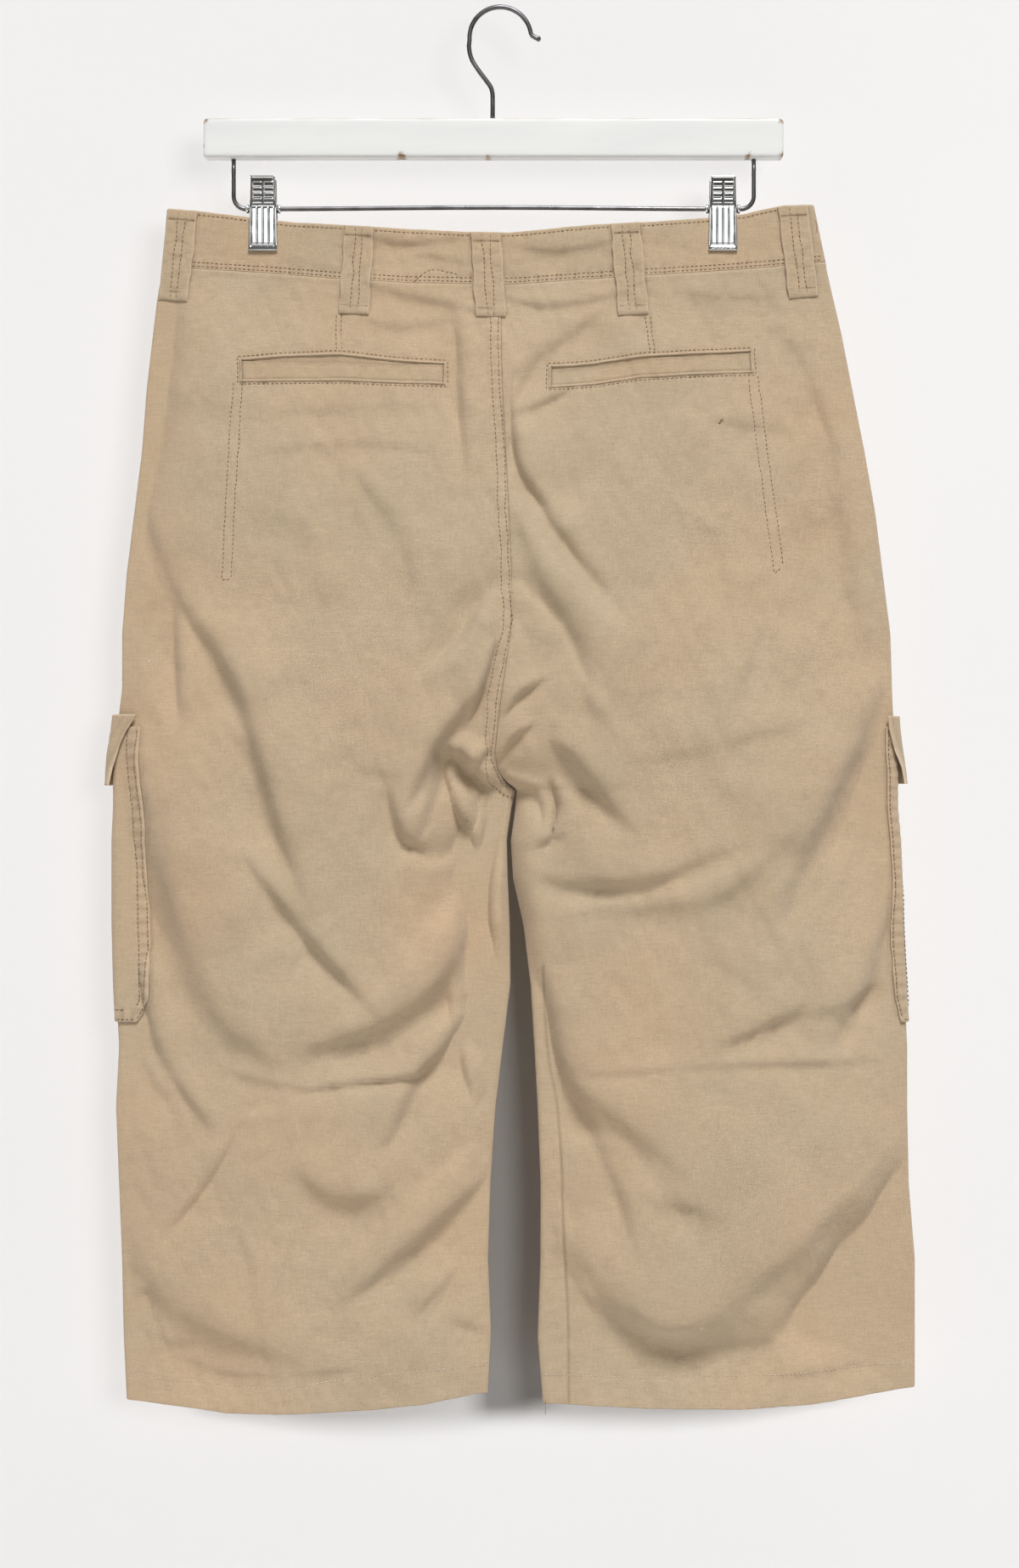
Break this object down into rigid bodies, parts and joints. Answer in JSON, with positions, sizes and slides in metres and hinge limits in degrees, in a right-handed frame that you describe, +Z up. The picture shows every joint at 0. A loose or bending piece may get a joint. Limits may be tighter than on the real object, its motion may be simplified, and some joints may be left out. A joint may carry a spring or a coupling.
{
  "type": "cargo shorts on a clip hanger",
  "caption": "Three-quarter cargo shorts hanging flat from a wooden bar hanger by two metal clips, with belt loops, welt pockets and flapped side pockets.",
  "frame": {"origin": "inside of the hook's crest, where the hook rests on what it hangs from", "axes": "+Z up, +X to the right in the picture, -Y out of the back of the shorts towards the viewer"},
  "size_m": [0.532, 0.0545, 0.9218],
  "materials": {
    "cloth": "washed brushed cotton twill",
    "trim_cloth": "washed brushed cotton twill, doubled",
    "chrome": "polished plating",
    "painted_wood": "worn white paint",
    "button": "satin"
  },
  "bodies": {
    "root": {"back_left": "cloth", "back_right": "cloth", "front_left": "cloth", "front_right": "cloth", "cargo_pocket_left": "cloth", "cargo_pocket_right": "cloth", "pocket_flap_left": "trim_cloth", "pocket_flap_right": "trim_cloth", "waistband": "trim_cloth", "belt_loop_back_1": "trim_cloth", "belt_loop_back_2": "trim_cloth", "belt_loop_back_3": "trim_cloth", "belt_loop_back_4": "trim_cloth", "belt_loop_back_5": "trim_cloth", "belt_loop_front_1": "trim_cloth", "belt_loop_front_2": "trim_cloth", "back_welt_left": "trim_cloth", "back_welt_right": "trim_cloth", "fly_placket": "trim_cloth", "waist_button": "button", "hanger_bar": "painted_wood", "hook": "chrome", "rail": "chrome", "clip_left_back": "chrome", "clip_left_front": "chrome", "clip_left_sleeve": "chrome", "clip_right_back": "chrome", "clip_right_front": "chrome", "clip_right_sleeve": "chrome"}
  },
  "joints": []
}
